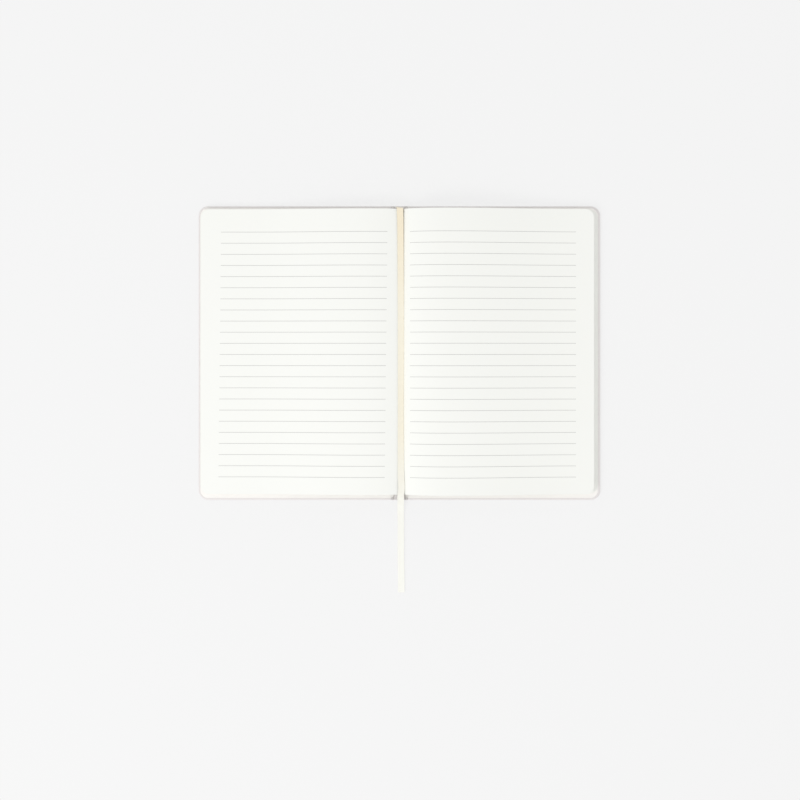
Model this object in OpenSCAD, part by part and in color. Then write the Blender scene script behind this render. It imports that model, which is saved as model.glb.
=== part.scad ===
// Ruled notebook lying open on its covers: case binding with rounded corners, a sewn
// text block of one paper, and a ribbon marker down the gutter.
// Origin: centre of the spine, on the surface that the notebook lies on.
// +X is towards the back cover, +Y towards the head, +Z up.

/* [Cover] */
// Width of the open cover, fore-edge to fore-edge
cover_w = 290; // [270:1:320]
// Height of the cover, head to tail
cover_h = 212; // [205:1:230]
// Radius of the cover's outer corners
cover_corner_r = 7; // [5:0.5:14]
// Thickness of each board
board_t = 2; // [1.6:0.1:3]
// Thickness of the covering material
covering_t = 0.35; // [0.25:0.05:0.45]
// Radius at which the covering turns round a board's edge
cover_edge_r = 0.8; // [0.6:0.05:1.2]
// Width of the covering that is turned in over the boards
turn_in = 15; // [10:1:20]

/* [Spine and joints] */
// Width of each joint, from the spine panel to the board
joint_w = 2; // [1.8:0.1:3]
// Depth of the joint grooves in the outside of the cover
groove_depth = 0.5; // [0.3:0.05:0.6]
// Running gap at the hinge line of each joint
hinge_gap = 0.2; // [0.1:0.05:0.3]
// Thickness of the card that stiffens the spine
spine_card_t = 0.8; // [0.5:0.1:1]
// Thickness of the cloth and paper lining glued to the folds
spine_lining_t = 0.3; // [0.2:0.05:0.4]

/* [Text block] */
// Sewn sections that lie to the left of the opening
left_sections = 4; // [3:1:6]
// Sewn sections that lie to the right of the opening
right_sections = 6; // [4:1:8]
// Thickness of one pressed section
section_t = 0.8; // [0.7:0.05:1]
// Thickness of the endpapers
endpaper_t = 0.15; // [0.1:0.05:0.2]
// Border of cover that shows beyond the leaves at the head
head_square = 2.5; // [2:0.1:5]
// Border of cover that shows beyond the leaves at the tail
tail_square = 4.5; // [2:0.1:6]
// Border of covering that shows beyond the pastedowns at head and tail
pastedown_square = 1.5; // [1:0.1:3]
// Border of front cover beyond the lowest left leaf
left_square = 1.4; // [0.8:0.1:3]
// Border of back cover beyond the lowest right leaf
right_square = 1.9; // [0.8:0.1:4]
// Radius of the leaves' outer corners
page_corner_r = 6; // [4:0.5:8]
// How far the left fore-edge leans back, bottom leaf to top leaf
left_bevel = 0.6; // [0.3:0.1:2]
// How far the right fore-edge leans back, bottom leaf to top leaf
right_bevel = 3.5; // [1:0.1:5]
// Width of the cut that parts two sections at head and tail
section_gap = 0.2; // [0.1:0.05:0.3]
// Depth of the cut that parts two sections at head and tail
section_gap_depth = 1.5; // [0.5:0.1:3]

/* [Open spread] */
// Distance of the gutter to the right of the spine's centre
gutter_x = 2.8; // [1:0.1:3]
// Height of the gutter above the lowest leaf
gutter_h = 2.5; // [2:0.1:4]
// Distance from the spine's centre to the crown of the left pages
left_crown_x = 24; // [18:1:32]
// Height of the left crown above the flat of the left pages
left_rise = 6.3; // [4:0.1:9]
// Distance from the spine's centre to where the left pages lie flat
left_flat_x = 105; // [80:1:120]
// Distance from the spine's centre to the crown of the right pages
right_crown_x = 34; // [26:1:42]
// Height of the right crown above the flat of the right pages
right_rise = 9.9; // [7:0.1:12]
// Distance from the spine's centre to where the right pages lie flat
right_flat_x = 132; // [110:1:133]

/* [Ruling] */
// Distance from line to line
line_pitch = 8; // [5:0.1:10]
// Width of a printed line
line_w = 0.3; // [0.2:0.05:0.5]
// Height at which a printed line stands on the paper
line_t = 0.06; // [0.04:0.01:0.1]
// Distance from the head of the leaf to the first line
head_margin = 16.5; // [10:0.1:18]
// Least distance from the last line to the tail of the leaf
tail_margin = 12; // [8:0.5:18]
// Distance from the left fore-edge to the lines
left_outer_margin = 13.7; // [8:0.1:20]
// Distance from the gutter to the lines of the left page
left_inner_margin = 12.4; // [8:0.1:20]
// Distance from the right fore-edge to the lines
right_outer_margin = 12.9; // [8:0.1:20]
// Distance from the gutter to the lines of the right page
right_inner_margin = 4.7; // [4:0.1:12]
// Drift of the left page's lines away from the gutter, head to tail
left_line_drift = 1.9; // [0:0.1:3]

/* [Thread and ribbon] */
// Sewing stations along the spine
stitch_count = 6; // [4:1:8]
// Diameter of the sewing thread
thread_d = 0.5; // [0.3:0.1:0.6]
// Distance from head or tail to the outermost station
stitch_end = 13; // [10:1:20]
// Width of the ribbon
ribbon_w = 4.8; // [3:0.1:5]
// Thickness of the ribbon
ribbon_t = 0.35; // [0.2:0.05:0.4]

/* [Hidden] */

$fn = 48;
over = 1;
pink = [0.85, 0.79, 0.77];
cream = [0.98, 0.97, 0.93];
card_grey = [0.66, 0.64, 0.6];
ink_grey = [0.66, 0.66, 0.66];
ribbon_gold = [0.97, 0.93, 0.82];

half_h = cover_h / 2;
cover_edge_x = cover_w / 2;
spine_w = (left_sections + right_sections) * section_t;
board_x = spine_w / 2 + joint_w;
board_top = covering_t + board_t;
cover_top = board_top + covering_t;
edge_flat = 0.2;
edge_r = min(cover_edge_r, (cover_top - edge_flat) / 2);
groove_top = groove_depth + covering_t;
hinge_x = spine_w / 2 + joint_w / 2;
hinge_z = groove_depth + covering_t / 2;
card_top = covering_t + spine_card_t;
spine_top = card_top + covering_t;

// Endpapers and leaves
pastedown_inset = 0.3;
pastedown_top = cover_top + endpaper_t;
page_base = pastedown_top + endpaper_t;
leaf_half = (cover_h - head_square - tail_square) / 2;
block_y = (tail_square - head_square) / 2;
fold_z = spine_top + spine_lining_t;
fold_bevel = section_t / 4;
line_count = floor((2 * leaf_half - head_margin - tail_margin) / line_pitch) + 1;
shoulder_w = 3;
gutter_z = page_base + gutter_h;
rise_steps = 7;
fall_steps = 8;
left_side = [
    left_sections, -1, left_crown_x, left_rise, left_flat_x,
    cover_edge_x - left_square, left_bevel
];
right_side = [
    right_sections, 1, right_crown_x, right_rise, right_flat_x,
    cover_edge_x - right_square, right_bevel
];
SECTIONS = 0;
TOWARDS = 1;
CROWN = 2;
RISE = 3;
FLAT = 4;
EDGE = 5;
BEVEL = 6;

// Sewing
kerf_clear = 0.05;
lining_inset = 3;
stitch_step = 2 * (leaf_half - stitch_end) / (stitch_count - 1);

// Route of the ribbon: x, y, z and roll in degrees, the right edge going down.
// Its y is measured from the head of the leaves, and from their tail on the last part.
ribbon_head = [
    [0, 1, 2.4, 0], [0, 1, 4.5, 0], [0, 1, 6.5, 1], [0.1, 1, 8, 6],
    [0.2, 0.8, 8.85, 11], [0.3, 0.2, 9.3, 16], [0.4, -0.8, 9.35, 19], [0.55, -4, 9.2, 21],
    [0.65, -9, 9.05, 23], [0.75, -15, 8.95, 24], [0.8, -23, 8.8, 24], [0.85, -34, 8.75, 24],
    [0.9, -46, 8.7, 24], [0.95, -59, 8.65, 24], [1, -72, 8.65, 24]
];
ribbon_tail = [
    [1, 28, 8.65, 24], [1.05, 20, 8.8, 20], [1.15, 13, 9.05, 15], [1.4, 7, 9.35, 11],
    [1.35, 3, 9.4, 11], [1, 0.5, 9.35, 10], [0.9, -1.5, 8.95, 6], [0.9, -3.5, 7.8, 3],
    [0.9, -5.5, 5.8, 1], [0.9, -7.4, 3.7, -1], [0.9, -9.5, 2, -4], [0.9, -12.2, 1.05, -7],
    [0.9, -16, 0.65, -8], [1, -21, 0.55, -8], [1, -33, 0.55, -8], [1, -45, 0.55, -8],
    [1.2, -58, 0.55, -8], [1.3, -71.5, 0.55, -8]
];
// Rings between the head part and the tail part, down the gutter
ribbon_rings = 7;

function mix(a, b, f) = a + (b - a) * f;
function backwards(list) = [for (i = [len(list) - 1:-1:0]) list[i]];
function without_first(list) = [for (i = [1:len(list) - 1]) list[i]];
function unit(v) = v / norm(v);

// Heights and edges of the leaves, with u measured outwards from the spine's centre
function leaf_z(j) = page_base + j * section_t;
function fold_u(j) = spine_w / 2 - j * section_t;
function edge_u(side, k) = side[EDGE] - side[BEVEL] * k / (side[SECTIONS] - 1);
function rise_foot(side, f) = [
    mix(spine_w / 2, side[TOWARDS] * gutter_x, f),
    mix(fold_z + fold_bevel, gutter_z, f)
];
function crown(side, j) = let (f = j / side[SECTIONS]) [
    mix(spine_w / 2 + shoulder_w, side[CROWN], f),
    leaf_z(j) + side[RISE] * f
];

// The leaf between two sections: it climbs from the folds on a quarter ellipse,
// and comes down from its crown to the flat on half a cosine wave
function climb(side, j) =
    let (foot = rise_foot(side, j / side[SECTIONS]), top = crown(side, j))
    [for (i = [0:rise_steps]) let (a = 90 * i / rise_steps) [
        mix(foot[0], top[0], 1 - cos(a)),
        mix(foot[1], top[1], sin(a))
    ]];
function descent(side, j) =
    let (top = crown(side, j))
    [for (i = [1:fall_steps]) let (t = i / fall_steps) [
        mix(top[0], side[FLAT], t),
        mix(leaf_z(j), top[1], (1 + cos(180 * t)) / 2)
    ]];
function leaf_curve(side, j, end_u) = concat(
    climb(side, j),
    j == 0 ? [] : descent(side, j),
    [[end_u, leaf_z(j)]]
);

function top_curve(side) =
    let (n = side[SECTIONS]) leaf_curve(side, n, edge_u(side, n - 1));
function fore_edge(side) = [
    for (k = [0:side[SECTIONS] - 1], z = k == 0 ? [1] : [0, 1]) [edge_u(side, k), leaf_z(k + z)]
];
function side_outline(side) = concat(
    leaf_curve(side, 0, edge_u(side, 0)),
    fore_edge(side),
    without_first(backwards(top_curve(side)))
);
function on_side(side, points) = [for (p = points) [side[TOWARDS] * p[0], p[1]]];

// Backs of the folded sections, from left to right along the spine
function folds(count) = [
    for (i = [0:count - 1], p = [
        [fold_bevel, 0], [section_t - fold_bevel, 0], [section_t, fold_bevel]
    ]) if (i < count - 1 || p[1] == 0) [i * section_t - spine_w / 2 + p[0], fold_z + p[1]]
];

// Height of the top leaf at a distance u, between the two points beside it
function height_at(points, u) =
    let (i = [for (k = [1:len(points) - 1]) if (points[k][0] >= u) k][0])
    mix(
        points[i - 1][1], points[i][1],
        (u - points[i - 1][0]) / (points[i][0] - points[i - 1][0])
    );
least_step = 0.01;
function stretch(points, u1, u2) = concat(
    [[u1, height_at(points, u1)]],
    [for (p = points) if (p[0] > u1 + least_step && p[0] < u2 - least_step) p],
    [[u2, height_at(points, u2)]]
);
function raised(points, d) = [for (p = points) [p[0], p[1] + d]];

// A line moved sideways by d
function beside(points, d) = [
    for (i = [0:len(points) - 1])
        let (t = unit(points[min(i + 1, len(points) - 1)] - points[max(i - 1, 0)]))
        points[i] + d * [-t[1], t[0]]
];

module mirrored() {
    mirror([1, 0, 0]) children();
}

module along_y(length) {
    rotate([90, 0, 0]) linear_extrude(length, center = true) children();
}

// A plate from x1 to x2 with its two outer corners rounded
module round_plate(x1, x2, half, r) {
    translate([x1, -half]) square([x2 - r - x1, 2 * half]);
    translate([x1, r - half]) square([x2 - x1, 2 * (half - r)]);
    for (y = [-1, 1]) translate([x2 - r, y * (half - r)]) circle(r);
}

// Section of a cover with both its edges rounded, from -w to w
module rounded_section(w, h, r) {
    translate([-w, r]) square([2 * w, h - 2 * r]);
    translate([r - w, 0]) square([2 * (w - r), h]);
    for (x = [r - w, w - r], y = [r, h - r]) translate([x, y]) circle(r);
}

module rounded_cover(x1, x2, half, corner, h, r) {
    translate([x1, 0, 0]) rotate([90, 0, 90])
        linear_extrude(x2 - corner - x1) rounded_section(half, h, r);
    intersection() {
        along_y(2 * (half - corner)) rounded_section(x2, h, r);
        translate([x1, -half, -over]) cube([x2, 2 * half, h + 2 * over]);
    }
    for (y = [-1, 1]) translate([x2 - corner, y * (half - corner), 0]) rotate_extrude()
        intersection() {
            rounded_section(corner, h, r);
            square([corner, h]);
        }
}

module board() {
    translate([0, 0, covering_t]) linear_extrude(board_t)
        round_plate(
            board_x, cover_edge_x - covering_t, half_h - covering_t,
            cover_corner_r - covering_t
        );
}

// Part of the board that the turned-in edges leave bare
module turn_in_window(inset) {
    translate([board_x - over, turn_in + inset - half_h])
        square([cover_edge_x - turn_in - inset - board_x + over, 2 * (half_h - turn_in - inset)]);
}

module covering() {
    difference() {
        rounded_cover(board_x, cover_edge_x, half_h, cover_corner_r, cover_top, edge_r);
        translate([0, 0, covering_t]) linear_extrude(board_t)
            round_plate(
                board_x - over, cover_edge_x - covering_t, half_h - covering_t,
                cover_corner_r - covering_t
            );
        translate([0, 0, board_top - over / 2]) linear_extrude(over + covering_t)
            turn_in_window(0);
    }
    translate([board_x - covering_t, -half_h, 0]) cube([covering_t, cover_h, groove_top]);
    translate([hinge_x, -half_h, groove_depth])
        cube([board_x - covering_t / 2 - hinge_x, cover_h, covering_t]);
    translate([hinge_x, 0, hinge_z]) rotate([90, 0, 0])
        cylinder(h = cover_h, d = covering_t, center = true);
}

module pastedown(edge_x) {
    x1 = board_x + pastedown_inset;
    difference() {
        translate([0, 0, board_top]) linear_extrude(pastedown_top - board_top)
            round_plate(x1, edge_x, half_h - pastedown_square, cover_corner_r - pastedown_square);
        difference() {
            translate([0, -half_h, board_top - over]) cube([cover_edge_x, cover_h, covering_t + over]);
            translate([0, 0, board_top - 2 * over]) linear_extrude(covering_t + 4 * over)
                turn_in_window(0);
        }
        translate([0, 0, board_top + endpaper_t]) linear_extrude(covering_t + over)
            turn_in_window(endpaper_t);
    }
}

module flyleaf(edge_x) {
    translate([0, block_y, pastedown_top]) linear_extrude(endpaper_t)
        round_plate(spine_w / 2 + shoulder_w, edge_x, leaf_half, page_corner_r);
}

module spine_section() {
    inner = spine_w / 2 - covering_t;
    lip = hinge_x - covering_t / 2 - hinge_gap;
    translate([-spine_w / 2, 0]) square([spine_w, covering_t]);
    for (x = [-spine_w / 2, inner]) translate([x, 0]) square([covering_t, groove_top]);
    for (x = [-lip, inner]) translate([x, groove_depth]) square([lip - inner, covering_t]);
}

// Grooves that part the sections at one end of the block
module section_cuts(side) {
    for (j = [1:side[SECTIONS] - 1]) {
        line = concat(
            [[fold_u(j), fold_z]],
            leaf_curve(side, j, edge_u(side, j - 1) + over)
        );
        along_y(section_gap_depth) polygon(on_side(side, concat(
            beside(line, section_gap / 2), backwards(beside(line, -section_gap / 2))
        )));
    }
}

// What the rounded corners take off, one section above the other
module corner_cuts(side) {
    n = side[SECTIONS];
    for (k = [0:n - 1]) {
        bottom = k == 0 ? leaf_z(0) - over : leaf_z(k);
        top = k == n - 1 ? leaf_z(n) + over : leaf_z(k + 1);
        centre = [edge_u(side, k) - page_corner_r, leaf_half - page_corner_r];
        translate([0, 0, bottom]) linear_extrude(top - bottom) difference() {
            translate(centre) square(page_corner_r + over);
            translate(centre) circle(page_corner_r);
        }
    }
}

module block_solid() {
    along_y(2 * leaf_half) polygon(concat(
        folds(left_sections + right_sections),
        on_side(right_side, side_outline(right_side)),
        on_side(left_side, without_first(backwards(side_outline(left_side))))
    ));
}

module ruling(side, outer_margin, inner_margin, drift) {
    page = top_curve(side);
    inner = side[TOWARDS] * gutter_x + inner_margin;
    outer = edge_u(side, side[SECTIONS] - 1) - outer_margin;
    for (i = [0:line_count - 1]) {
        shift = drift * (i / (line_count - 1) - 0.5);
        foot = stretch(page, inner + shift, outer + shift);
        translate([0, block_y + leaf_half - head_margin - i * line_pitch, 0]) along_y(line_w)
            polygon(on_side(side, concat(foot, backwards(raised(foot, line_t)))));
    }
}

// Section of the ribbon, flat with thin edges
function ribbon_section() =
    let (w = ribbon_w / 2, t = ribbon_t / 2, flat = w - t, edge = t / 2) [
        [-w, -edge], [-flat, -t], [flat, -t], [w, -edge],
        [w, edge], [flat, t], [-flat, t], [-w, edge]
    ];
function along_route(points, leaf_end) = [for (p = points) p + [0, leaf_end, 0, 0]];
ribbon_start = along_route(ribbon_head, block_y + leaf_half);
ribbon_end = along_route(ribbon_tail, block_y - leaf_half);
ribbon_gutter = [
    for (i = [1:ribbon_rings])
        mix(ribbon_start[len(ribbon_start) - 1], ribbon_end[0], i / (ribbon_rings + 1))
];
ribbon_route = concat(ribbon_start, ribbon_gutter, ribbon_end);
function xyz(p) = [p[0], p[1], p[2]];
function ribbon_ring(i) =
    let (
        last = len(ribbon_route) - 1,
        t = unit(xyz(ribbon_route[min(i + 1, last)]) - xyz(ribbon_route[max(i - 1, 0)])),
        across = unit([1, 0, 0] - t[0] * t),
        up = cross(t, across),
        roll = ribbon_route[i][3]
    ) [
        for (q = ribbon_section()) xyz(ribbon_route[i])
            + q[0] * (across * cos(roll) - up * sin(roll))
            + q[1] * (up * cos(roll) + across * sin(roll))
    ];

module front_board() {
    color(card_grey) mirrored() board();
}

module back_board() {
    color(card_grey) board();
}

module front_covering() {
    color(pink) mirrored() covering();
}

module back_covering() {
    color(pink) covering();
}

module spine_covering() {
    inner = spine_w / 2 - covering_t;
    color(pink) {
        along_y(cover_h) spine_section();
        for (y = [-half_h, half_h - covering_t])
            translate([-inner, y, covering_t / 2]) cube([2 * inner, covering_t, spine_top - covering_t / 2]);
        for (y = [-half_h, half_h - turn_in])
            translate([-inner, y, card_top]) cube([2 * inner, turn_in, covering_t]);
    }
}

module front_pastedown() {
    color(cream) mirrored() pastedown(cover_edge_x - left_square);
}

module back_pastedown() {
    color(cream) pastedown(cover_edge_x - right_square);
}

module front_flyleaf() {
    color(cream) mirrored() flyleaf(edge_u(left_side, 0));
}

module back_flyleaf() {
    color(cream) flyleaf(edge_u(right_side, 0));
}

module spine_card() {
    inner = spine_w / 2 - covering_t;
    color(card_grey) translate([-inner, covering_t - half_h, covering_t])
        cube([2 * inner, cover_h - 2 * covering_t, spine_card_t]);
}

module spine_lining() {
    lining_half = leaf_half - lining_inset;
    color(cream) translate([fold_bevel - spine_w / 2, block_y - lining_half, spine_top])
        cube([spine_w - 2 * fold_bevel, 2 * lining_half, spine_lining_t]);
}

module sewing_thread() {
    color(cream) for (i = [0:stitch_count - 1])
        translate([
            0, block_y + i * stitch_step + stitch_end - leaf_half,
            fold_z + thread_d / 2 + kerf_clear
        ])
            rotate([0, 90, 0]) cylinder(h = spine_w - 2 * fold_bevel, d = thread_d, center = true);
}

module pages() {
    kerf = thread_d + 2 * kerf_clear;
    color(cream) translate([0, block_y, 0]) difference() {
        block_solid();
        for (side = [left_side, right_side]) {
            for (y = [0, 1]) mirror([0, y, 0]) {
                mirror([side[TOWARDS] < 0 ? 1 : 0, 0, 0]) corner_cuts(side);
                translate([0, leaf_half, 0]) section_cuts(side);
            }
        }
        for (i = [0:stitch_count - 1])
            translate([-spine_w, i * stitch_step + stitch_end - leaf_half - kerf / 2, fold_z - over])
                cube([2 * spine_w, kerf, kerf + over]);
    }
}

module left_ruling() {
    color(ink_grey) ruling(left_side, left_outer_margin, left_inner_margin, left_line_drift);
}

module right_ruling() {
    color(ink_grey) ruling(right_side, right_outer_margin, right_inner_margin, 0);
}

module ribbon_marker() {
    sides = len(ribbon_section());
    rings = len(ribbon_route);
    color(ribbon_gold) polyhedron(
        points = [for (i = [0:rings - 1], p = ribbon_ring(i)) p],
        faces = concat(
            [[for (k = [0:sides - 1]) k]],
            [for (i = [0:rings - 2], k = [0:sides - 1], half = [0, 1])
                let (a = i * sides, next = (k + 1) % sides)
                half == 0
                    ? [a + k, a + sides + k, a + sides + next]
                    : [a + k, a + sides + next, a + next]],
            [[for (k = [sides - 1:-1:0]) (rings - 1) * sides + k]]
        )
    );
}

front_board();
back_board();
front_covering();
spine_covering();
back_covering();
front_pastedown();
back_pastedown();
front_flyleaf();
back_flyleaf();
spine_card();
spine_lining();
sewing_thread();
pages();
left_ruling();
right_ruling();
ribbon_marker();
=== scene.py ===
"""Dresses the open ruled notebook: leaves, printed lines, covering, joints and ribbon marker."""
import math
import bmesh
import bpy
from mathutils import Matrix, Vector


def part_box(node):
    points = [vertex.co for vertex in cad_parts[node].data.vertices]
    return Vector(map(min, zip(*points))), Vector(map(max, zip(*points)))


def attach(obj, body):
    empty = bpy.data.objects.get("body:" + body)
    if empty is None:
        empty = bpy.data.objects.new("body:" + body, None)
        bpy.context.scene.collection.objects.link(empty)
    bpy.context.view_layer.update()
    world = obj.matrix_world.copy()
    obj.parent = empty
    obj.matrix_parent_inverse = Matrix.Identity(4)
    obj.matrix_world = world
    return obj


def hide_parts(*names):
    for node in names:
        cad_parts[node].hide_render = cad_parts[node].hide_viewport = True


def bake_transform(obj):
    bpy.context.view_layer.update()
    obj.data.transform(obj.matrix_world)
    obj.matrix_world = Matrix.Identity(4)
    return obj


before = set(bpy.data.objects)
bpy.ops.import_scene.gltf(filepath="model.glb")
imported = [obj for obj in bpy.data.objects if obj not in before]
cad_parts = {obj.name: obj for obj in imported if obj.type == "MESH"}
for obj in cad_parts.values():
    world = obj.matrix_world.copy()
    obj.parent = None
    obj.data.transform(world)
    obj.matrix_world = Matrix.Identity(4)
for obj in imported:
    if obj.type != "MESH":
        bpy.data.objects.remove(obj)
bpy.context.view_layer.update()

MM = 0.001

# The two corners of a box
LOW = 0
HIGH = 1

# The photograph's view: sensor and lens in millimetres, and the picture's row under the camera
IMAGE_PIXELS = 800
SENSOR_WIDTH = 36
LENS = 65.7
CAMERA_HEIGHT = 1.0562
CAMERA_X = 0.37 * MM
CAMERA_Y = -0.44 * MM
OPTICAL_AXIS_ROW = 353.7

# Light and floor. FLOOR_SHARE is how opaque the floor is to the camera.
SKY_LEVEL = 0.83
KEY_WATTS = 6.1
KEY_PLACE = (-0.85, -0.76, 1.15)
KEY_SIZE = 0.65
BACKGROUND_LEVEL = 0.916
FLOOR_SHARE = 0.23
FLOOR_ROUGHNESS = 0.9
FLOOR_SIZE = 6
FLOOR_DROP = 0.02 * MM

# The text block. BUNCHING is the share of a section's thickness that its leaves fill, EDGE_PLAY
# how far their edges differ, SHOULDER how far the lowest leaf's crown is from its fold, and LEAN
# how far the top leaf's fore-edge lies back from the lowest one's.
SECTION = 0.8 * MM
LEAVES_PER_SECTION = 8
LEAF_THICKNESS = 0.07 * MM
BUNCHING = 0.9
EDGE_PLAY = 0.16 * MM
EDGE_SEED = 7
GUTTER_X = 2.8 * MM
GUTTER_RISE = 2.5 * MM
PAGE_CORNER = 6 * MM
SHOULDER = 3 * MM
SPINE_HALF = 4 * MM
FOLD_BEVEL = 0.2 * MM
LEFT_SECTIONS = 4
LEFT_CROWN_X = 24 * MM
LEFT_RISE = 6.3 * MM
LEFT_FLAT_X = 105 * MM
LEFT_LEAN = 0.6 * MM
RIGHT_SECTIONS = 6
RIGHT_CROWN_X = 34 * MM
RIGHT_RISE = 9.9 * MM
RIGHT_FLAT_X = 132 * MM
RIGHT_LEAN = 3.5 * MM

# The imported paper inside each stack: how far it stays inside the leaves' edges, the share of the
# sections under its bottom, and how far its top lies below the top leaf
PACKED_INSET = 0.35 * MM
PACKED_BOTTOM = 0.01
PACKED_BELOW_TOP = 0.06 * MM

# The printed lines. LINE_GAP is the space between a line and its leaf, and LEFT_DRIFT how much
# further out the last line on the left lies than the first.
LINE_COUNT = 23
LINE_PITCH = 8 * MM
LINE_WIDTH = 0.3 * MM
LINE_GAP = 0.012 * MM
INK_THICKNESS = 0.01 * MM
HEAD_MARGIN = 16.5 * MM
LEFT_INNER_MARGIN = 12.4 * MM
LEFT_OUTER_MARGIN = 13.7 * MM
LEFT_DRIFT = 1.9 * MM
RIGHT_INNER_MARGIN = 4.7 * MM
RIGHT_OUTER_MARGIN = 12.9 * MM

# The ribbon marker: x, y, z in millimetres and roll in degrees, the right edge going down.
# Its y is measured from the head of the leaves, and from their tail on the last part.
RIBBON_HEAD = [
    (0, 1, 2.4, 0), (0, 1, 4.5, 0), (0, 1, 6.5, 1), (0.1, 1, 8, 6),
    (0.2, 0.8, 8.85, 11), (0.3, 0.2, 9.3, 16), (0.4, -0.8, 9.35, 19), (0.55, -4, 9.2, 21),
    (0.65, -9, 9.05, 23), (0.75, -15, 8.95, 24), (0.8, -23, 8.8, 24), (0.85, -34, 8.75, 24),
    (0.9, -46, 8.7, 24), (0.95, -59, 8.65, 24), (1, -72, 8.65, 24),
]
RIBBON_TAIL = [
    (1, 28, 8.65, 24), (1.05, 20, 8.8, 20), (1.15, 13, 9.05, 15), (1.4, 7, 9.35, 11),
    (1.35, 3, 9.4, 11), (1, 0.5, 9.35, 10), (0.9, -1.5, 8.95, 6), (0.9, -3.5, 7.8, 3),
    (0.9, -5.5, 5.8, 1), (0.9, -7.4, 3.7, -1), (0.9, -9.5, 2, -4), (0.9, -12.2, 1.05, -7),
    (0.9, -16, 0.65, -8), (1, -21, 0.55, -8), (1, -33, 0.55, -8), (1, -45, 0.55, -8),
    (1.2, -58, 0.55, -8), (1.3, -71.5, 0.55, -8),
]
RIBBON_STEPS = 6
RIBBON_WIDTH = 4.8 * MM

# Across the ribbon: half its thickness, and at the selvedge the distance from the edge with half
# the thickness there, in millimetres
RIBBON_HALF_THICKNESS = 0.1
RIBBON_SELVEDGE = [(0, 0.02), (0.06, 0.12), (0.25, 0.15), (0.5, 0.1)]

# The satin's weave, and where along the ribbon the painted gutter shade, then the painted bounce
# light, fade out
RIB_PITCH = 0.42 * MM
THREAD_PITCH = 0.3 * MM
GUTTER_SHADE_TO_BOUNCE = (20 * MM, 80 * MM)
GUTTER_BOUNCE_TO_IVORY = (170 * MM, 225 * MM)

# The covering and the endpaper over the joints. The covering's strip is given by its distance from
# the spine's centre, its height and how far that rises on the way out. The endpaper's fold is
# given by distance and height in millimetres, and widens from the leaves' ends to the board's.
CLOTH_INNER = 4.15 * MM
CLOTH_OUTER = 5.85 * MM
CLOTH_LOW = 0.475 * MM
CLOTH_HIGH = 0.875 * MM
CLOTH_RISE_INNER = 0.3 * MM
CLOTH_RISE_OUTER = 1.45 * MM
CLOTH_COLUMNS = 16
ENDPAPER_FOLD = [
    (4.15, 2.2), (4.3, 2.14), (4.7, 2.14), (5.25, 2.32), (5.8, 2.54), (6.25, 2.76), (6.7, 2.86),
]
ENDPAPER_THICKNESS = 0.12 * MM
ENDPAPER_FLARE = 0.2
ENDPAPER_SMOOTHING = 2

# Columns and rows of the leaves, from the fold to the rounded corner, and of the printed lines
FOLD_COLUMNS = 2
CLIMB_COLUMNS = 14
FALL_COLUMNS = 24
FLAT_COLUMNS = 2
CORNER_COLUMNS = 6
LEAF_ROWS = 4
LINE_COLUMNS = 60

# Edges sharper than this many degrees stay crisp
SHARP_ANGLE = 40

# Colours: each finish lies between the two of its pair
PAPER_CREAM = ((0.955, 0.962, 0.93), (0.94, 0.944, 0.905))
ENDPAPER_CREAM = ((0.98, 0.96, 0.935), (0.96, 0.935, 0.9))
BLUSH = ((0.85, 0.822, 0.814), (0.775, 0.742, 0.731))
PRINT_GREY = ((0.46, 0.46, 0.45), (0.64, 0.64, 0.62))
# The first two satin pairs are painted light: shade deep in the gutter, and warm light bounced from
# the pages
SATIN_GUTTER_SHADE = ((0.995, 0.9, 0.71), (0.975, 0.865, 0.665))
SATIN_GUTTER_BOUNCE = ((0.995, 0.95, 0.81), (0.985, 0.92, 0.775))
SATIN_IVORY = ((0.955, 0.955, 0.895), (0.925, 0.92, 0.85))
BOARD_GREY = ((0.42, 0.4, 0.37), (0.3, 0.285, 0.26))
LINING_CREAM = ((0.82, 0.8, 0.74), (0.68, 0.66, 0.6))
THREAD_CREAM = ((0.88, 0.86, 0.8), (0.76, 0.73, 0.66))

leaf_tail, leaf_head = (corner.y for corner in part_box("pages"))
leaf_half = (leaf_head - leaf_tail) / 2
leaf_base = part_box("back_flyleaf")[HIGH].z
fold_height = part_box("spine_lining")[HIGH].z
left_edge = -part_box("front_flyleaf")[LOW].x
right_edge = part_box("back_flyleaf")[HIGH].x


# Node trees

class Value:
    """An output in a node tree, so that a formula on it reads as one."""

    def __init__(self, tree, socket):
        self.tree = tree
        self.socket = socket

    def math(self, operation, *others):
        made = self.tree.nodes.new("ShaderNodeMath")
        made.operation = operation
        for socket, other in zip(made.inputs, (self, *others)):
            feed(self.tree, socket, other)
        return Value(self.tree, made.outputs[0])

    def __add__(self, other):
        return self.math("ADD", other)

    def __sub__(self, other):
        return self.math("SUBTRACT", other)

    def __mul__(self, other):
        return self.math("MULTIPLY", other)

    def __truediv__(self, other):
        return self.math("DIVIDE", other)

    def __rsub__(self, other):
        return self.math("MULTIPLY_ADD", -1, other)

    def clamped(self):
        return self.math("MAXIMUM", 0).math("MINIMUM", 1)

    def between(self, start, end):
        """How far the value is from start to end, from 0 to 1."""
        return ((self - start) / (end - start)).clamped()


def feed(tree, socket, value):
    if isinstance(value, Value):
        tree.links.new(value.socket, socket)
    else:
        socket.default_value = value


def add_node(tree, kind, inputs=None, **settings):
    made = tree.nodes.new(kind)
    for name, value in settings.items():
        setattr(made, name, value)
    for name, value in (inputs or {}).items():
        feed(tree, made.inputs[name], value)
    return made


def output(tree, kind, inputs=None, **settings):
    """The first output of a new node."""
    return Value(tree, add_node(tree, kind, inputs, **settings).outputs[0])


# Meshes

def new_piece(name, mesh):
    piece = bpy.data.objects.new(name, mesh)
    bpy.context.scene.collection.objects.link(piece)
    return piece


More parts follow.
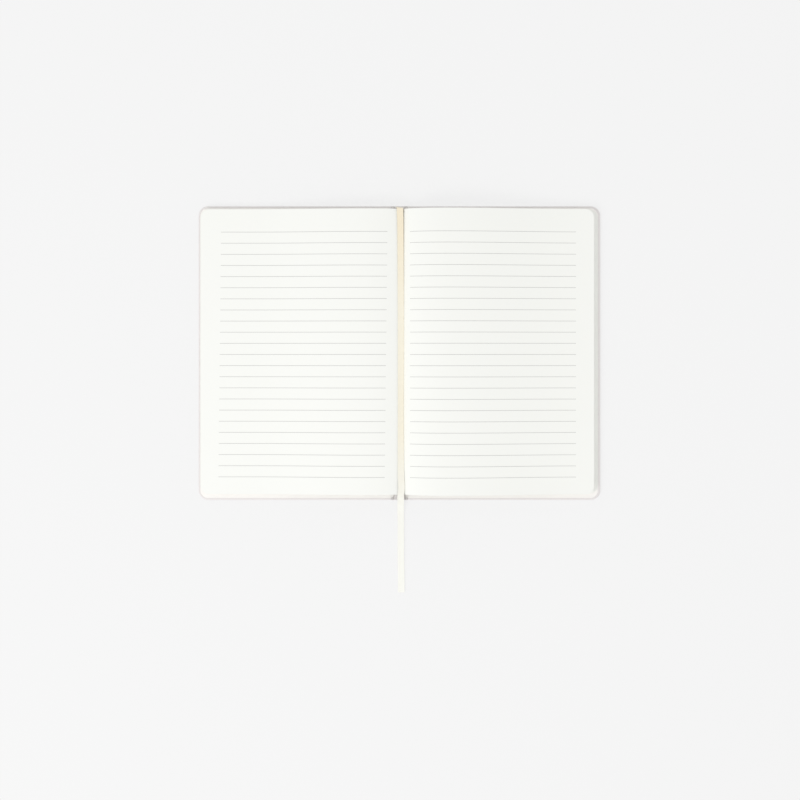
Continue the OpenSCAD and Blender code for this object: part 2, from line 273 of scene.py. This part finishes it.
def tidy_mesh(mesh):
    """Turns the faces outwards, and smooths them except over sharp edges."""
    work = bmesh.new()
    work.from_mesh(mesh)
    bmesh.ops.recalc_face_normals(work, faces=work.faces)
    work.to_mesh(mesh)
    work.free()
    mesh.polygons.foreach_set("use_smooth", [True] * len(mesh.polygons))
    mesh.set_sharp_from_angle(angle=math.radians(SHARP_ANGLE))


def finish_piece(piece, body, node):
    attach(piece, body)
    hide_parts(node)


def new_tree(name, sizes):
    tree = bpy.data.node_groups.new(name, "GeometryNodeTree")
    tree.interface.new_socket("Mesh", in_out="OUTPUT", socket_type="NodeSocketGeometry")
    kinds = {int: "NodeSocketInt", float: "NodeSocketFloat"}
    for title, value in sizes.items():
        kind = kinds.get(type(value), "NodeSocketMaterial")
        tree.interface.new_socket(title, in_out="INPUT", socket_type=kind)
    given = tree.nodes.new("NodeGroupInput")
    return tree, {title: Value(tree, given.outputs[title]) for title in sizes}


def rows_of_sheets(tree, count, columns, rows):
    """Flat sheets in one mesh, with three fields: the number of a point's sheet, its column and
    its place across the sheet, from -1 to 1."""
    sheet = output(tree, "GeometryNodeMeshGrid", {
        "Size X": columns, "Size Y": 2, "Vertices X": columns + 1, "Vertices Y": rows + 1,
    })
    points = output(tree, "GeometryNodePoints", {"Count": count})
    copies = output(tree, "GeometryNodeInstanceOnPoints", {"Points": points, "Instance": sheet})
    numbered = output(
        tree, "GeometryNodeStoreNamedAttribute",
        {"Geometry": copies, "Name": "sheet", "Value": output(tree, "GeometryNodeInputIndex")},
        data_type="FLOAT", domain="INSTANCE",
    )
    mesh = output(tree, "GeometryNodeRealizeInstances", {"Geometry": numbered})
    place = add_node(tree, "ShaderNodeSeparateXYZ", {
        "Vector": output(tree, "GeometryNodeInputPosition"),
    })
    number = output(tree, "GeometryNodeInputNamedAttribute", {"Name": "sheet"}, data_type="FLOAT")
    column = Value(tree, place.outputs["X"]) + columns / 2
    return mesh, number, column, Value(tree, place.outputs["Y"])


def end_tree(tree, mesh, x, y, z, material):
    placed = output(tree, "GeometryNodeSetPosition", {
        "Geometry": mesh,
        "Position": output(tree, "ShaderNodeCombineXYZ", {"X": x, "Y": y, "Z": z}),
    })
    real = output(tree, "GeometryNodeRealizeInstances", {"Geometry": placed})
    dressed = output(tree, "GeometryNodeSetMaterial", {"Geometry": real, "Material": material})
    end = tree.nodes.new("NodeGroupOutput")
    feed(tree, end.inputs["Mesh"], dressed)


def piece_from(tree, name, sizes, thickness):
    """The tree's result as a plain mesh, each sheet given its thickness."""
    maker = new_piece(name, bpy.data.meshes.new(name + "_maker"))
    shape = maker.modifiers.new("shape", "NODES")
    shape.node_group = tree
    for item in tree.interface.items_tree:
        if item.in_out == "INPUT":
            shape[item.identifier] = sizes[item.name]
    wall = maker.modifiers.new("wall", "SOLIDIFY")
    wall.thickness = thickness
    wall.offset = 0
    graph = bpy.context.evaluated_depsgraph_get()
    mesh = bpy.data.meshes.new_from_object(
        maker.evaluated_get(graph), preserve_all_data_layers=True, depsgraph=graph)
    maker.modifiers.clear()
    maker.data = mesh
    mesh.name = name
    tidy_mesh(mesh)
    return maker


# Leaves

def side_sizes(sections, side, crown, rise, flat, edge, lean):
    """The sizes of the leaves on one side, measured outwards from the spine's centre."""
    return {
        "Side": float(side),
        "Sections": float(sections),
        "Section thickness": SECTION,
        "Fold place": SPINE_HALF,
        "Fold height": fold_height,
        "Fold bevel": FOLD_BEVEL,
        "Gutter place": side * GUTTER_X,
        "Gutter height": leaf_base + GUTTER_RISE,
        "Leaf base": leaf_base,
        "Shoulder": SHOULDER,
        "Crown place": crown,
        "Crown rise": rise,
        "Flat place": flat,
        "Edge place": edge,
        "Lean": lean,
        "Half height": leaf_half,
        "Middle": (leaf_head + leaf_tail) / 2,
        "Corner radius": PAGE_CORNER,
    }


LEFT_SIDE = side_sizes(
    LEFT_SECTIONS, -1, LEFT_CROWN_X, LEFT_RISE, LEFT_FLAT_X, left_edge, LEFT_LEAN)
RIGHT_SIDE = side_sizes(
    RIGHT_SECTIONS, 1, RIGHT_CROWN_X, RIGHT_RISE, RIGHT_FLAT_X, right_edge, RIGHT_LEAN)


def leaf_points(size, share):
    """Foot, crown and flat height of a leaf with this share of its side's sections under it."""
    foot_u = size["Fold place"] + (size["Gutter place"] - size["Fold place"]) * share
    foot_low = size["Fold height"] + size["Fold bevel"]
    foot_z = foot_low + (size["Gutter height"] - foot_low) * share
    crown_low = size["Fold place"] + size["Shoulder"]
    crown_u = crown_low + (size["Crown place"] - crown_low) * share
    flat_z = size["Leaf base"] + size["Section thickness"] * size["Sections"] * share
    crown_z = flat_z + size["Crown rise"] * share
    return foot_u, foot_z, crown_u, crown_z, flat_z


def build_leaf_tree(sizes):
    tree, size = new_tree("leaf_stack", sizes)
    columns = FOLD_COLUMNS + CLIMB_COLUMNS + FALL_COLUMNS + FLAT_COLUMNS + CORNER_COLUMNS
    count = size["Sections"] * LEAVES_PER_SECTION
    mesh, leaf, column, across = rows_of_sheets(tree, count, columns, LEAF_ROWS)

    # Each section's leaves lie a little closer to each other than to the next section
    section = (leaf / LEAVES_PER_SECTION).math("FLOOR")
    within = (leaf + 1) / LEAVES_PER_SECTION - section
    level = section + 1 - (1 - within) * size["Bunching"]
    share = level / size["Sections"]
    foot_u, foot_z, crown_u, crown_z, flat_z = leaf_points(size, share)

    # The fold at the spine, rounded over the section
    off_middle = (within - 0.5).math("ABSOLUTE") * 2
    fold_u = size["Fold place"] - level * size["Section thickness"]
    fold_z = size["Fold height"] + size["Fold bevel"] * off_middle * off_middle

    # Small differences from leaf to leaf
    chance = output(
        tree, "ShaderNodeTexWhiteNoise", {"W": leaf + size["Seed"]}, noise_dimensions="1D")
    chance_y = output(
        tree, "ShaderNodeTexWhiteNoise", {"W": leaf * 3 + size["Seed"]}, noise_dimensions="1D")
    edge = size["Edge place"] - size["Lean"] * share + (chance - 0.5) * size["Edge play"]
    tail = size["Half height"] - chance_y * size["Edge play"] * 0.5

    stops = [0]
    for step in (FOLD_COLUMNS, CLIMB_COLUMNS, FALL_COLUMNS, FLAT_COLUMNS, CORNER_COLUMNS):
        stops.append(stops[-1] + step)
    fold, climb, fall, flat, turn = (
        column.between(start, end) for start, end in zip(stops, stops[1:]))
    quarter = math.pi / 2
    corner_u = edge - size["Corner radius"]
    u = (
        fold_u + (foot_u - fold_u) * fold
        + (crown_u - foot_u) * (1 - (climb * quarter).math("COSINE"))
        + (size["Flat place"] - crown_u) * fall
        + (corner_u - size["Flat place"]) * flat
        + size["Corner radius"] * (turn * quarter).math("SINE")
    )
    z = (
        fold_z + (foot_z - fold_z) * fold
        + (crown_z - foot_z) * (climb * quarter).math("SINE")
        - (crown_z - flat_z) * (1 - (fall * math.pi).math("COSINE")) / 2
    )
    reach = tail - size["Corner radius"] * (1 - (turn * quarter).math("COSINE"))
    y = size["Middle"] + across * reach
    tone = output(
        tree, "GeometryNodeStoreNamedAttribute",
        {"Geometry": mesh, "Name": "leaf_tone", "Value": chance},
        data_type="FLOAT", domain="POINT",
    )
    end_tree(tree, tone, u * size["Side"], y, z, size["Paper"])
    return tree


def add_leaves(paper):
    extra = {"Bunching": BUNCHING, "Edge play": EDGE_PLAY, "Seed": EDGE_SEED, "Paper": paper}
    tree = build_leaf_tree({**LEFT_SIDE, **extra})
    for name, side in (("left_leaves", LEFT_SIDE), ("right_leaves", RIGHT_SIDE)):
        leaves = piece_from(tree, name, {**side, **extra}, LEAF_THICKNESS)
        finish_piece(leaves, "text_block", "pages")
        finish_piece(packed_paper(name + "_packed", side, paper), "text_block", "pages")


def packed_outline(side, share):
    """A leaf from fold to fore-edge, as distance from the spine, half its length and height."""
    foot_u, foot_z, crown_u, crown_z, flat_z = leaf_points(side, share)
    half = side["Half height"] - PACKED_INSET
    corner = side["Corner radius"] - PACKED_INSET
    corner_u = side["Edge place"] - side["Lean"] * share - side["Corner radius"]
    fold_u = side["Fold place"] - share * side["Sections"] * side["Section thickness"]
    quarter = math.pi / 2
    points = [(fold_u, half, side["Fold height"] + side["Fold bevel"])]
    for i in range(CLIMB_COLUMNS + 1):
        turn = quarter * i / CLIMB_COLUMNS
        points.append((
            foot_u + (crown_u - foot_u) * (1 - math.cos(turn)), half,
            foot_z + (crown_z - foot_z) * math.sin(turn)))
    for i in range(1, FALL_COLUMNS + 1):
        step = i / FALL_COLUMNS
        points.append((
            crown_u + (side["Flat place"] - crown_u) * step, half,
            crown_z - (crown_z - flat_z) * (1 - math.cos(math.pi * step)) / 2))
    for i in range(CORNER_COLUMNS + 1):
        turn = quarter * i / CORNER_COLUMNS
        points.append((
            corner_u + corner * math.sin(turn), half - corner * (1 - math.cos(turn)), flat_z))
    return points


def packed_paper(name, side, paper):
    """The inside of a stack, short of the leaves' edges, so that no light passes between them."""
    top = 1 - PACKED_BELOW_TOP / (side["Sections"] * side["Section thickness"])
    mesh = bpy.data.meshes.new(name)
    work = bmesh.new()
    sheets = []
    for share in (PACKED_BOTTOM, top):
        sheets.append([
            [work.verts.new((u * side["Side"], side["Middle"] + end * reach, z)) for end in (-1, 1)]
            for u, reach, z in packed_outline(side, share)])
    low, high = sheets
    for i in range(len(low) - 1):
        for sheet in sheets:
            work.faces.new((sheet[i][0], sheet[i + 1][0], sheet[i + 1][1], sheet[i][1]))
        for end in (0, 1):
            work.faces.new((low[i][end], low[i + 1][end], high[i + 1][end], high[i][end]))
    for i in (0, -1):
        work.faces.new((low[i][0], low[i][1], high[i][1], high[i][0]))
    work.to_mesh(mesh)
    work.free()
    mesh.materials.append(paper)
    tidy_mesh(mesh)
    return new_piece(name, mesh)


# Printed lines

def build_ruling_tree(sizes):
    tree, size = new_tree("ruled_lines", sizes)
    mesh, line, column, across = rows_of_sheets(tree, size["Lines"], LINE_COLUMNS, 1)
    foot_u, foot_z, crown_u, crown_z, flat_z = leaf_points(size, 1)
    drift = size["Drift"] * (line / (size["Lines"] - 1) - 0.5)
    u = size["Inner end"] + (size["Outer end"] - size["Inner end"]) * column / LINE_COLUMNS + drift
    to_crown = ((crown_u - u) / (crown_u - foot_u)).clamped()
    past_crown = u.between(crown_u, size["Flat place"])
    z = (
        foot_z + (crown_z - foot_z) * (1 - to_crown * to_crown).math("SQRT")
        - (crown_z - flat_z) * (1 - (past_crown * math.pi).math("COSINE")) / 2
        + size["Lift"]
    )
    y = size["First line"] - line * size["Pitch"] + across * size["Line width"] / 2
    end_tree(tree, mesh, u * size["Side"], y, z, size["Ink"])
    return tree


def add_rulings(ink):
    shared = {
        "Lines": LINE_COUNT, "Pitch": LINE_PITCH, "Line width": LINE_WIDTH,
        "First line": leaf_head - HEAD_MARGIN, "Lift": LEAF_THICKNESS / 2 + LINE_GAP, "Ink": ink,
    }
    left = {
        **LEFT_SIDE, **shared, "Drift": LEFT_DRIFT,
        "Inner end": LEFT_INNER_MARGIN - GUTTER_X,
        "Outer end": left_edge - LEFT_LEAN - LEFT_OUTER_MARGIN,
    }
    right = {
        **RIGHT_SIDE, **shared, "Drift": 0.0,
        "Inner end": RIGHT_INNER_MARGIN + GUTTER_X,
        "Outer end": right_edge - RIGHT_LEAN - RIGHT_OUTER_MARGIN,
    }
    tree = build_ruling_tree(left)
    for name, sizes in (("left_lines", left), ("right_lines", right)):
        lines = piece_from(tree, name, sizes, INK_THICKNESS)
        finish_piece(lines, "text_block", name.replace("lines", "ruling"))


# Ribbon marker

def ribbon_route():
    """The ribbon's points in millimetres, with the roll at each in degrees."""
    head = [(x, y + leaf_head / MM, z, roll) for x, y, z, roll in RIBBON_HEAD]
    tail = [(x, y + leaf_tail / MM, z, roll) for x, y, z, roll in RIBBON_TAIL]
    return [Vector(p) for p in head + tail]


def smooth_route(points, steps):
    """The same route on one smooth curve, in this many steps from point to point."""
    places = [p.to_3d() for p in points]
    spans = [(b - a).length for a, b in zip(places, places[1:])]
    slopes = [(b - a) / span for a, b, span in zip(points, points[1:], spans)]
    leads = [slopes[0]]
    for i in range(1, len(points) - 1):
        before, after = spans[i - 1], spans[i]
        leads.append((slopes[i - 1] * after + slopes[i] * before) / (before + after))
    leads.append(slopes[-1])
    route = []
    for i, span in enumerate(spans):
        for k in range(steps):
            t = k / steps
            a, b = points[i], points[i + 1]
            rise = (3 - 2 * t) * t * t
            route.append(
                a * (1 - rise) + b * rise
                + leads[i] * span * t * (1 - t) ** 2 - leads[i + 1] * span * t * t * (1 - t))
    return route + [points[-1]]


def ribbon_section():
    """Across the ribbon: flat, with a slightly thicker selvedge at both edges."""
    half = RIBBON_WIDTH / 2
    edge = [(w * MM - half, h * MM) for w, h in RIBBON_SELVEDGE]
    flat = [(w, RIBBON_HALF_THICKNESS * MM) for w in (-half / 2, 0, half / 2)]
    upper = edge + flat + [(-w, h) for w, h in reversed(edge)]
    return upper + [(w, -h) for w, h in reversed(upper)]


def add_ribbon(satin):
    route = smooth_route(ribbon_route(), RIBBON_STEPS)
    places = [p.to_3d() * MM for p in route]
    section = ribbon_section()
    rows = len(section)
    mesh = bpy.data.meshes.new("ribbon_marker_satin")
    verts = []
    runs = []
    run = 0
    for i, place in enumerate(places):
        if i:
            run += (place - places[i - 1]).length
        ahead = places[min(i + 1, len(places) - 1)] - places[max(i - 1, 0)]
        ahead.normalize()
        across = (Vector((1, 0, 0)) - ahead * ahead.x).normalized()
        up = ahead.cross(across)
        roll = math.radians(route[i].w)
        wide = across * math.cos(roll) - up * math.sin(roll)
        thick = up * math.cos(roll) + across * math.sin(roll)
        for w, h in section:
            verts.append(place + wide * w + thick * h)
            runs.append((w, run))
    faces = [tuple(range(rows))]
    for i in range(len(places) - 1):
        for k in range(rows):
            a, b = i * rows + k, i * rows + (k + 1) % rows
            faces.append((a, a + rows, b + rows, b))
    faces.append(tuple(reversed(range((len(places) - 1) * rows, len(places) * rows))))
    mesh.from_pydata(verts, [], faces)
    weave = mesh.uv_layers.new(name="weave")
    for loop in mesh.loops:
        weave.data[loop.index].uv = runs[loop.vertex_index]
    mesh.materials.append(satin)
    tidy_mesh(mesh)
    ribbon = new_piece("ribbon_marker_satin", mesh)
    finish_piece(ribbon, "text_block", "ribbon_marker")


# Joints of the covering and the endpapers

def add_joint_cloth(name, side, covering):
    """A strip of the covering over one joint."""
    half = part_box("spine_covering")[HIGH].y
    mesh = bpy.data.meshes.new(name)
    work = bmesh.new()
    rings = []
    for i in range(CLOTH_COLUMNS + 1):
        share = i / CLOTH_COLUMNS
        x = side * (CLOTH_INNER + (CLOTH_OUTER - CLOTH_INNER) * share)
        rise = math.sin(math.pi / 2 * share)
        lift = CLOTH_RISE_INNER + (CLOTH_RISE_OUTER - CLOTH_RISE_INNER) * rise
        corners = [(-half, CLOTH_LOW), (half, CLOTH_LOW), (half, CLOTH_HIGH), (-half, CLOTH_HIGH)]
        rings.append([work.verts.new((x, y, z + lift)) for y, z in corners])
    for a, b in zip(rings, rings[1:]):
        for k in range(4):
            work.faces.new((a[k], a[(k + 1) % 4], b[(k + 1) % 4], b[k]))
    work.faces.new(rings[0])
    work.faces.new(rings[-1])
    work.to_mesh(mesh)
    work.free()
    mesh.materials.append(covering)
    tidy_mesh(mesh)
    strip = new_piece(name, mesh)
    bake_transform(strip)


def add_joint_paper(name, side, paper):
    """The endpaper's own fold, from the first leaf down into the joint and up onto the board."""
    mesh = bpy.data.meshes.new(name)
    work = bmesh.new()
    inner, outer = ENDPAPER_FOLD[0][0], ENDPAPER_FOLD[-1][0]
    leaf_ends = (leaf_tail, leaf_head)
    board_ends = [corner.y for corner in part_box("back_pastedown")]
    rings = []
    for u, z in ENDPAPER_FOLD:
        share = ((u - inner) / (outer - inner)) ** ENDPAPER_FLARE
        ends = [leaf + (board - leaf) * share for leaf, board in zip(leaf_ends, board_ends)]
        rings.append([work.verts.new((side * u * MM, y, z * MM)) for y in ends])
    for a, b in zip(rings, rings[1:]):
        work.faces.new((a[0], b[0], b[1], a[1]))
    work.to_mesh(mesh)
    work.free()
    mesh.materials.append(paper)
    maker = new_piece(name, mesh)
    soft = maker.modifiers.new("soft", "SUBSURF")
    soft.levels = soft.render_levels = ENDPAPER_SMOOTHING
    soft.boundary_smooth = "PRESERVE_CORNERS"
    wall = maker.modifiers.new("wall", "SOLIDIFY")
    wall.thickness = ENDPAPER_THICKNESS
    wall.offset = 0
    graph = bpy.context.evaluated_depsgraph_get()
    solid = bpy.data.meshes.new_from_object(maker.evaluated_get(graph), depsgraph=graph)
    maker.modifiers.clear()
    maker.data = solid
    tidy_mesh(solid)
    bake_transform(maker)


# Materials

def new_material(name):
    material = bpy.data.materials.new(name)
    material.use_nodes = True
    shader = material.node_tree.nodes["Principled BSDF"]
    return material, material.node_tree, shader


def colour_between(tree, factor, pair):
    """The first of two colours where the factor is 0, and the second where it is 1."""
    mixed = tree.nodes.new("ShaderNodeMix")
    mixed.data_type = "RGBA"
    feed(tree, mixed.inputs["Factor"], factor)
    colours = [socket for socket in mixed.inputs if socket.type == "RGBA"]
    for socket, colour in zip(colours, pair):
        feed(tree, socket, colour if isinstance(colour, Value) else (*colour, 1))
    return Value(tree, [socket for socket in mixed.outputs if socket.type == "RGBA"][0])


def noise(tree, place, scale, detail=3, roughness=0.5, stretch=(1, 1, 1)):
    """Noise with about this many spots to the metre."""
    moved = output(tree, "ShaderNodeMapping", {"Vector": place, "Scale": stretch})
    return output(tree, "ShaderNodeTexNoise", {
        "Vector": moved, "Scale": scale, "Detail": detail, "Roughness": roughness,
    })


def object_place(tree):
    return Value(tree, tree.nodes.new("ShaderNodeTexCoord").outputs["Object"])


def bump(tree, shader, height, distance):
    normal = output(tree, "ShaderNodeBump", {"Height": height, "Distance": distance, "Strength": 1})
    feed(tree, shader.inputs["Normal"], normal)


def paper_material(name, colours, leaf_tones):
    """Uncoated paper: short fibres, faint cloudiness and, with leaf_tones, leaves that differ."""
    material, tree, shader = new_material(name)
    place = object_place(tree)
    fibres = noise(tree, place, scale=2600, detail=4, roughness=0.65, stretch=(1, 0.35, 1))
    clouds = noise(tree, place, scale=90, detail=2)
    blend = fibres * 0.35 + clouds * 0.4
    if leaf_tones:
        leaf = add_node(tree, "ShaderNodeAttribute", attribute_name="leaf_tone")
        blend = blend + Value(tree, leaf.outputs["Fac"]) * 0.25
    feed(tree, shader.inputs["Base Color"], colour_between(tree, blend, colours))
    feed(tree, shader.inputs["Roughness"], fibres * 0.12 + 0.8)
    shader.inputs["Specular IOR Level"].default_value = 0.12
    bump(tree, shader, fibres + clouds * 0.3, distance=0.012 * MM)
    return material


def ink_material():
    """Grey print: a little thinner where the paper's fibres show through."""
    material, tree, shader = new_material("grey_print")
    place = object_place(tree)
    specks = noise(tree, place, scale=3200, detail=4, roughness=0.7)
    uneven = noise(tree, place, scale=160)
    blend = specks * 0.7 + uneven * 0.3
    feed(tree, shader.inputs["Base Color"], colour_between(tree, blend, PRINT_GREY))
    feed(tree, shader.inputs["Roughness"], specks * 0.15 + 0.75)
    shader.inputs["Specular IOR Level"].default_value = 0.12
    return material


def covering_material():
    """Blush imitation leather: a fine pebbled grain, paler on its ridges."""
    material, tree, shader = new_material("blush_leatherette")
    place = object_place(tree)
    pebbles = output(tree, "ShaderNodeTexVoronoi", {
        "Vector": place, "Scale": 2200, "Randomness": 1, "Smoothness": 0.6,
    }, feature="SMOOTH_F1")
    creases = noise(tree, place, scale=1300)
    clouds = noise(tree, place, scale=45)
    grain = pebbles * 0.8 + creases * 0.4
    blend = (grain * 0.7 + clouds * 0.4).clamped()
    feed(tree, shader.inputs["Base Color"], colour_between(tree, blend, BLUSH))
    feed(tree, shader.inputs["Roughness"], grain * 0.2 + 0.45)
    shader.inputs["Specular IOR Level"].default_value = 0.35
    bump(tree, shader, 1 - grain, distance=0.05 * MM)
    return material


def satin_material():
    """Cream satin ribbon: fine ribs across, a corded selvedge, and painted gutter shade and bounce
    light inside the book.
    """
    material, tree, shader = new_material("cream_satin")
    weave = add_node(tree, "ShaderNodeUVMap", uv_map="weave")
    parts = add_node(tree, "ShaderNodeSeparateXYZ", {"Vector": Value(tree, weave.outputs["UV"])})
    across = Value(tree, parts.outputs["X"])
    run = Value(tree, parts.outputs["Y"])
    ribs = (run * (2 * math.pi / RIB_PITCH)).math("SINE") * 0.5 + 0.5
    threads = (across * (2 * math.pi / THREAD_PITCH)).math("SINE") * 0.5 + 0.5
    clouds = noise(tree, object_place(tree), scale=260)
    uneven = clouds * 0.6 + ribs * 0.3
    # Painted shade near the head, then painted warm bounce light in the gutter, then the satin's
    # own ivory outside the book
    gutter_shade, gutter_bounce, ivory = (
        colour_between(tree, uneven, pair) for pair in (SATIN_GUTTER_SHADE, SATIN_GUTTER_BOUNCE, SATIN_IVORY))
    inside = colour_between(tree, run.between(*GUTTER_SHADE_TO_BOUNCE), (gutter_shade, gutter_bounce))
    colour = colour_between(tree, run.between(*GUTTER_BOUNCE_TO_IVORY), (inside, ivory))
    feed(tree, shader.inputs["Base Color"], colour)
    feed(tree, shader.inputs["Roughness"], ribs * 0.15 + 0.35)
    shader.inputs["Sheen Weight"].default_value = 0.15
    shader.inputs["Specular IOR Level"].default_value = 0.4
    bump(tree, shader, ribs + threads * 0.4, distance=0.03 * MM)
    return material


def fibre_material(name, colours, scale, distance):
    """Pulp board, cloth lining or thread: matt, with a coarse or fine fleck."""
    material, tree, shader = new_material(name)
    flecks = noise(tree, object_place(tree), scale, detail=5, roughness=0.7)
    feed(tree, shader.inputs["Base Color"], colour_between(tree, flecks, colours))
    feed(tree, shader.inputs["Roughness"], flecks * 0.1 + 0.85)
    shader.inputs["Specular IOR Level"].default_value = 0.1
    bump(tree, shader, flecks, distance)
    return material


def dress(material, *nodes):
    for name in nodes:
        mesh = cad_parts[name].data
        mesh.materials.clear()
        mesh.materials.append(material)


# View, light and floor

def add_camera():
    camera = bpy.data.cameras.new("photograph_view")
    camera.sensor_width = SENSOR_WIDTH
    camera.lens = LENS
    camera.shift_y = (OPTICAL_AXIS_ROW - IMAGE_PIXELS / 2) / IMAGE_PIXELS
    holder = new_piece("photograph_view", camera)
    holder.location = (CAMERA_X, CAMERA_Y, CAMERA_HEIGHT)
    bpy.context.scene.camera = holder


def seen_ray(tree):
    """1 where a ray comes from the camera, a reflection or a clear material."""
    path = tree.nodes.new("ShaderNodeLightPath")
    names = ("Is Camera Ray", "Is Glossy Ray", "Is Transmission Ray")
    camera, gloss, clear = (Value(tree, path.outputs[name]) for name in names)
    return (camera + gloss + clear).clamped()


def add_world():
    world = bpy.data.worlds.new("studio")
    bpy.context.scene.world = world
    world.use_nodes = True
    tree = world.node_tree
    tree.nodes.clear()
    ambient = output(tree, "ShaderNodeBackground", {
        "Color": (1, 1, 1, 1), "Strength": SKY_LEVEL,
    })
    backdrop = output(tree, "ShaderNodeBackground", {
        "Color": (1, 1, 1, 1), "Strength": BACKGROUND_LEVEL,
    })
    mixed = add_node(tree, "ShaderNodeMixShader", {"Fac": seen_ray(tree)})
    feed(tree, mixed.inputs[1], ambient)
    feed(tree, mixed.inputs[2], backdrop)
    end = tree.nodes.new("ShaderNodeOutputWorld")
    feed(tree, end.inputs["Surface"], Value(tree, mixed.outputs[0]))


def add_key_light():
    light = bpy.data.lights.new("soft_key", "AREA")
    light.shape = "DISK"
    light.size = KEY_SIZE
    light.energy = KEY_WATTS
    holder = new_piece("soft_key", light)
    holder.location = KEY_PLACE
    holder.rotation_euler = Vector(KEY_PLACE).to_track_quat("Z", "Y").to_euler()


def add_floor():
    """A pale floor that takes the shadow, and lets the camera see a cover turned down below it."""
    mesh = bpy.data.meshes.new("floor")
    half = FLOOR_SIZE / 2
    corners = [(-half, -half), (half, -half), (half, half), (-half, half)]
    mesh.from_pydata([(x, y, -FLOOR_DROP) for x, y in corners], [], [(0, 1, 2, 3)])
    floor = new_piece("floor", mesh)
    material, tree, shader = new_material("pale_floor")
    pale = BACKGROUND_LEVEL
    shader.inputs["Base Color"].default_value = (pale, pale, pale, 1)
    shader.inputs["Roughness"].default_value = FLOOR_ROUGHNESS
    shader.inputs["Specular IOR Level"].default_value = 0
    backdrop = output(tree, "ShaderNodeBsdfTransparent")
    mixed = add_node(tree, "ShaderNodeMixShader", {"Fac": seen_ray(tree) * (1 - FLOOR_SHARE)})
    feed(tree, mixed.inputs[1], Value(tree, shader.outputs[0]))
    feed(tree, mixed.inputs[2], backdrop)
    feed(tree, tree.nodes["Material Output"].inputs["Surface"], Value(tree, mixed.outputs[0]))
    mesh.materials.append(material)


add_camera()
add_ribbon(satin_material())

paper = paper_material("cream_paper", PAPER_CREAM, leaf_tones=True)
endpaper = paper_material("endpaper", ENDPAPER_CREAM, leaf_tones=False)
covering = covering_material()
add_leaves(paper)
add_rulings(ink_material())
add_joint_cloth("front_joint_cloth", -1, covering)
add_joint_cloth("back_joint_cloth", 1, covering)
add_joint_paper("front_joint_paper", -1, endpaper)
add_joint_paper("back_joint_paper", 1, endpaper)

dress(covering, "front_covering", "back_covering", "spine_covering")
dress(endpaper, "front_pastedown", "back_pastedown", "front_flyleaf", "back_flyleaf")
dress(fibre_material("grey_pulp_board", BOARD_GREY, scale=900, distance=0.04 * MM),
      "front_board", "back_board", "spine_card")
dress(fibre_material("lining_cloth", LINING_CREAM, scale=1800, distance=0.05 * MM),
      "spine_lining")
dress(fibre_material("waxed_thread", THREAD_CREAM, scale=2600, distance=0.03 * MM),
      "sewing_thread")

bpy.context.scene.view_settings.view_transform = "Standard"
add_world()
add_key_light()
add_floor()
